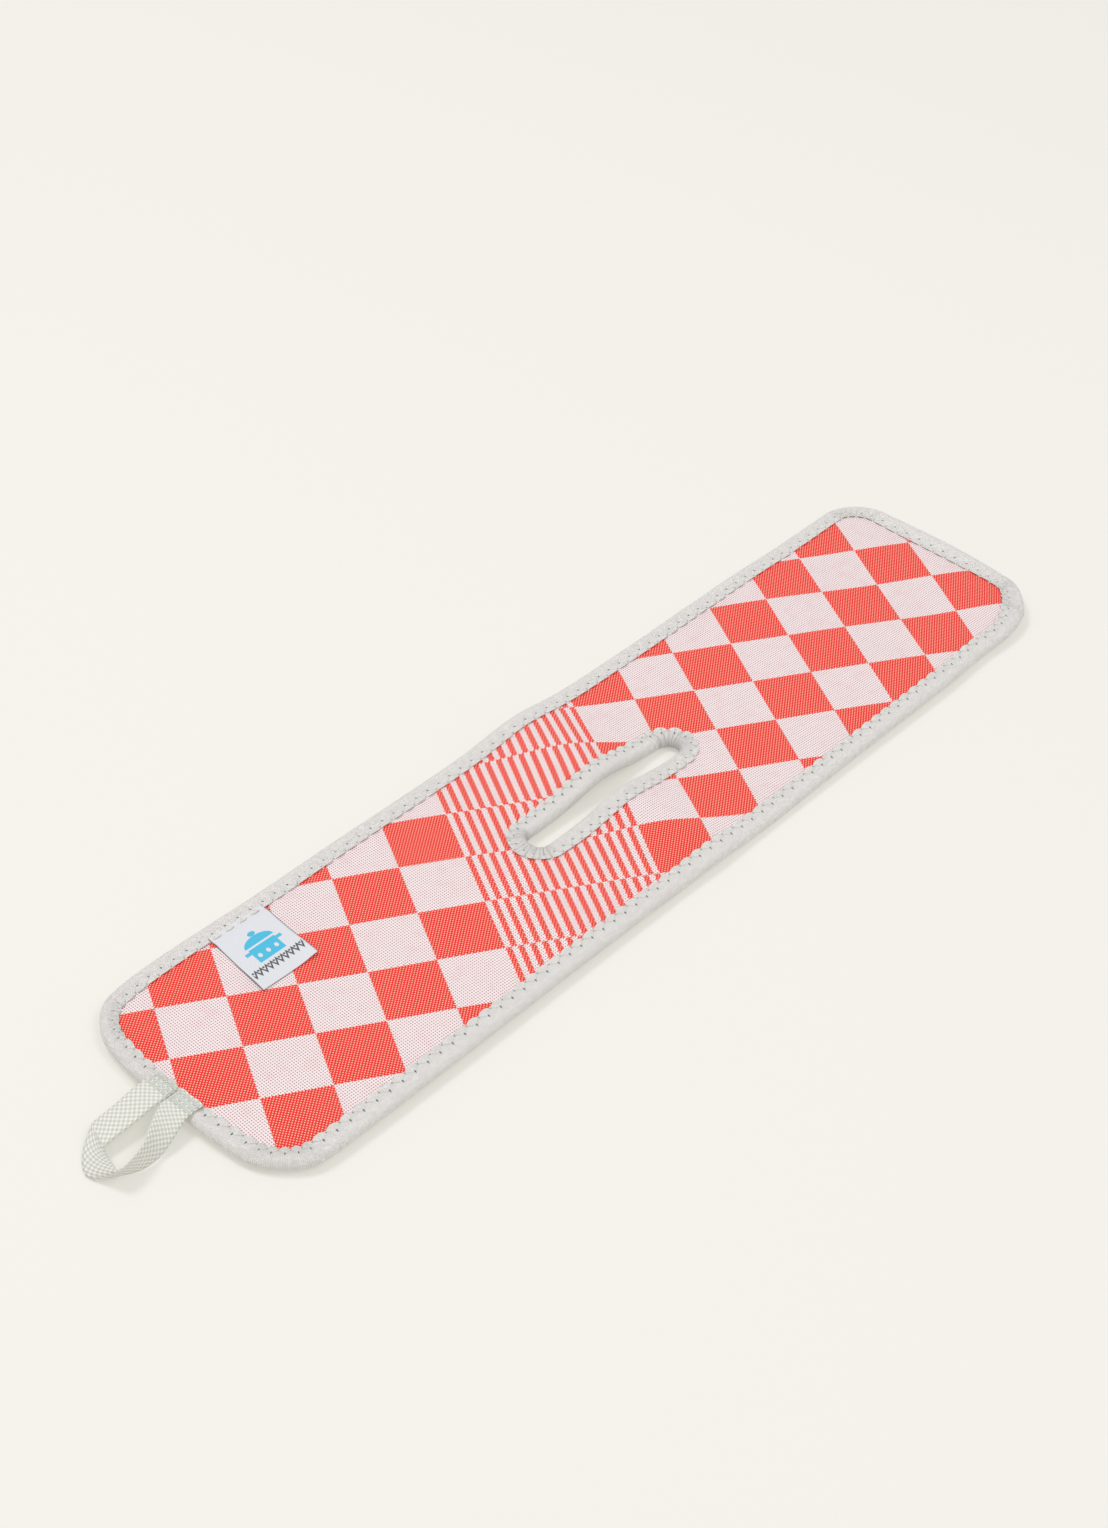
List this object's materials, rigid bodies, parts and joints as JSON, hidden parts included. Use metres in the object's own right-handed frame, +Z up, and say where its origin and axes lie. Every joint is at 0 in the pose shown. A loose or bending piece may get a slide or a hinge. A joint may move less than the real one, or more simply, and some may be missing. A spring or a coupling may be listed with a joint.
{
  "type": "pan gripper strip",
  "caption": "Flat padded cloth strip with a central slot for a lid knob, taped edges, a hanging loop and a woven label; its ends fold up to grip pan handles.",
  "frame": {"origin": "bottom centre of the whole object's box, loop included, on the surface it lies on", "axes": "+X along the strip, away from the hanging loop; +Y across the strip, towards the edge with the label; +Z up, out of the top cloth"},
  "size_m": [0.6522, 0.14, 0.0142],
  "materials": {
    "check_cloth": "cotton jacquard, red and pink-white check, matt",
    "foam": "closed-cell foam sheet, matt",
    "binding_tape": "ribbed polyester tape, light grey, slight sheen",
    "thread": "polyester sewing thread, light grey",
    "webbing": "woven polyester webbing, pale grey-green",
    "label_satin": "woven satin, near white, with a plain woven emblem"
  },
  "bodies": {
    "centre": {"top_cloth_centre": "check_cloth", "bottom_cloth_centre": "check_cloth", "foam_core_centre": "foam", "edge_binding_near": "binding_tape", "edge_binding_far": "binding_tape", "slot_binding": "binding_tape", "edge_stitches_near": "thread", "edge_stitches_far": "thread", "slot_stitches": "thread"},
    "left_grip": {"top_cloth_left": "check_cloth", "bottom_cloth_left": "check_cloth", "foam_core_left": "foam", "edge_binding_left": "binding_tape", "edge_stitches_left_near": "thread", "edge_stitches_left_far": "thread", "loop_end_far": "webbing", "loop_end_near": "webbing", "loop_tack_stitches": "thread"},
    "right_grip": {"top_cloth_right": "check_cloth", "bottom_cloth_right": "check_cloth", "foam_core_right": "foam", "edge_binding_right": "binding_tape", "edge_stitches_right": "thread"},
    "hanging_loop": {"hanging_loop": "webbing"},
    "label": {"woven_label": "label_satin"}
  },
  "joints": [
    {"name": "left_fold", "type": "hinge", "parent": "centre", "child": "left_grip", "pos_m": [-0.08495, 0, 0.0079], "axis": [0, 1, 0], "range_deg": [0, 100]},
    {"name": "right_fold", "type": "hinge", "parent": "centre", "child": "right_grip", "pos_m": [0.12505, 0, 0.0079], "axis": [0, -1, 0], "range_deg": [0, 100]},
    {"name": "loop_swing", "type": "hinge", "parent": "left_grip", "child": "hanging_loop", "pos_m": [-0.2744, 0, 0.00865], "axis": [0, 1, 0], "range_deg": [0, 120]},
    {"name": "label_lift", "type": "hinge", "parent": "left_grip", "child": "label", "pos_m": [-0.198, 0.0584, 0.0073], "axis": [-1, 0, 0], "range_deg": [0, 120]}
  ]
}
